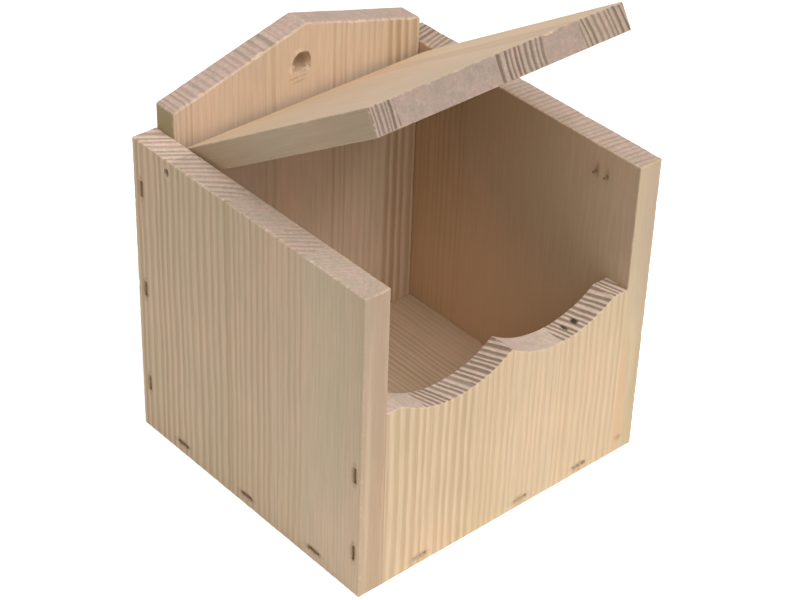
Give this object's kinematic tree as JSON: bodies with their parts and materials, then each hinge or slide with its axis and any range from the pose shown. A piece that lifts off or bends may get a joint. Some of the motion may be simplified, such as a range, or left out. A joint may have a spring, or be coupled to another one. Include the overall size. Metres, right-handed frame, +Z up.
{
  "type": "half-open nest box",
  "caption": "Half-open wooden nest box with a scalloped low front, a gabled back board with a hanging hole, and a lid that tilts between the side walls.",
  "frame": {"origin": "centre of the underside, halfway between the side walls' outer faces and halfway between their front and rear edges", "axes": "+Z up, +Y towards the back board, +X towards the right wall"},
  "size_m": [0.23, 0.214, 0.3159],
  "materials": {
    "side_wood": "raw sawn softwood, matt",
    "front_wood": "raw sawn softwood, matt",
    "back_wood": "raw sawn softwood, matt",
    "floor_wood": "raw sawn softwood, matt",
    "lid_wood": "raw sawn softwood, matt",
    "nail_steel": "dull steel",
    "staple_steel": "dull steel"
  },
  "bodies": {
    "box": {"left_wall": "side_wood", "right_wall": "side_wood", "front_board": "front_wood", "back_board": "back_wood", "floor_board": "floor_wood", "left_hinge_nail": "nail_steel", "right_hinge_nail": "nail_steel", "stop_staple": "staple_steel", "left_front_staple_low": "staple_steel", "left_front_staple_high": "staple_steel", "right_front_staple_low": "staple_steel", "right_front_staple_high": "staple_steel", "left_rear_staple_low": "staple_steel", "left_rear_staple_mid": "staple_steel", "left_rear_staple_high": "staple_steel", "right_rear_staple_low": "staple_steel", "right_rear_staple_mid": "staple_steel", "right_rear_staple_high": "staple_steel", "left_floor_staple_front": "staple_steel", "left_floor_staple_mid": "staple_steel", "left_floor_staple_rear": "staple_steel", "right_floor_staple_front": "staple_steel", "right_floor_staple_mid": "staple_steel", "right_floor_staple_rear": "staple_steel", "front_floor_staple_left": "staple_steel", "front_floor_staple_mid": "staple_steel", "front_floor_staple_right": "staple_steel", "back_floor_staple_left": "staple_steel", "back_floor_staple_mid": "staple_steel", "back_floor_staple_right": "staple_steel"},
    "lid": {"lid": "lid_wood"}
  },
  "joints": [
    {"name": "lid_hinge", "type": "hinge", "parent": "box", "child": "lid", "pos_m": [0, 0.073, 0.2075], "axis": [-1, 0, 0], "range_deg": [-32.5, 60]}
  ]
}
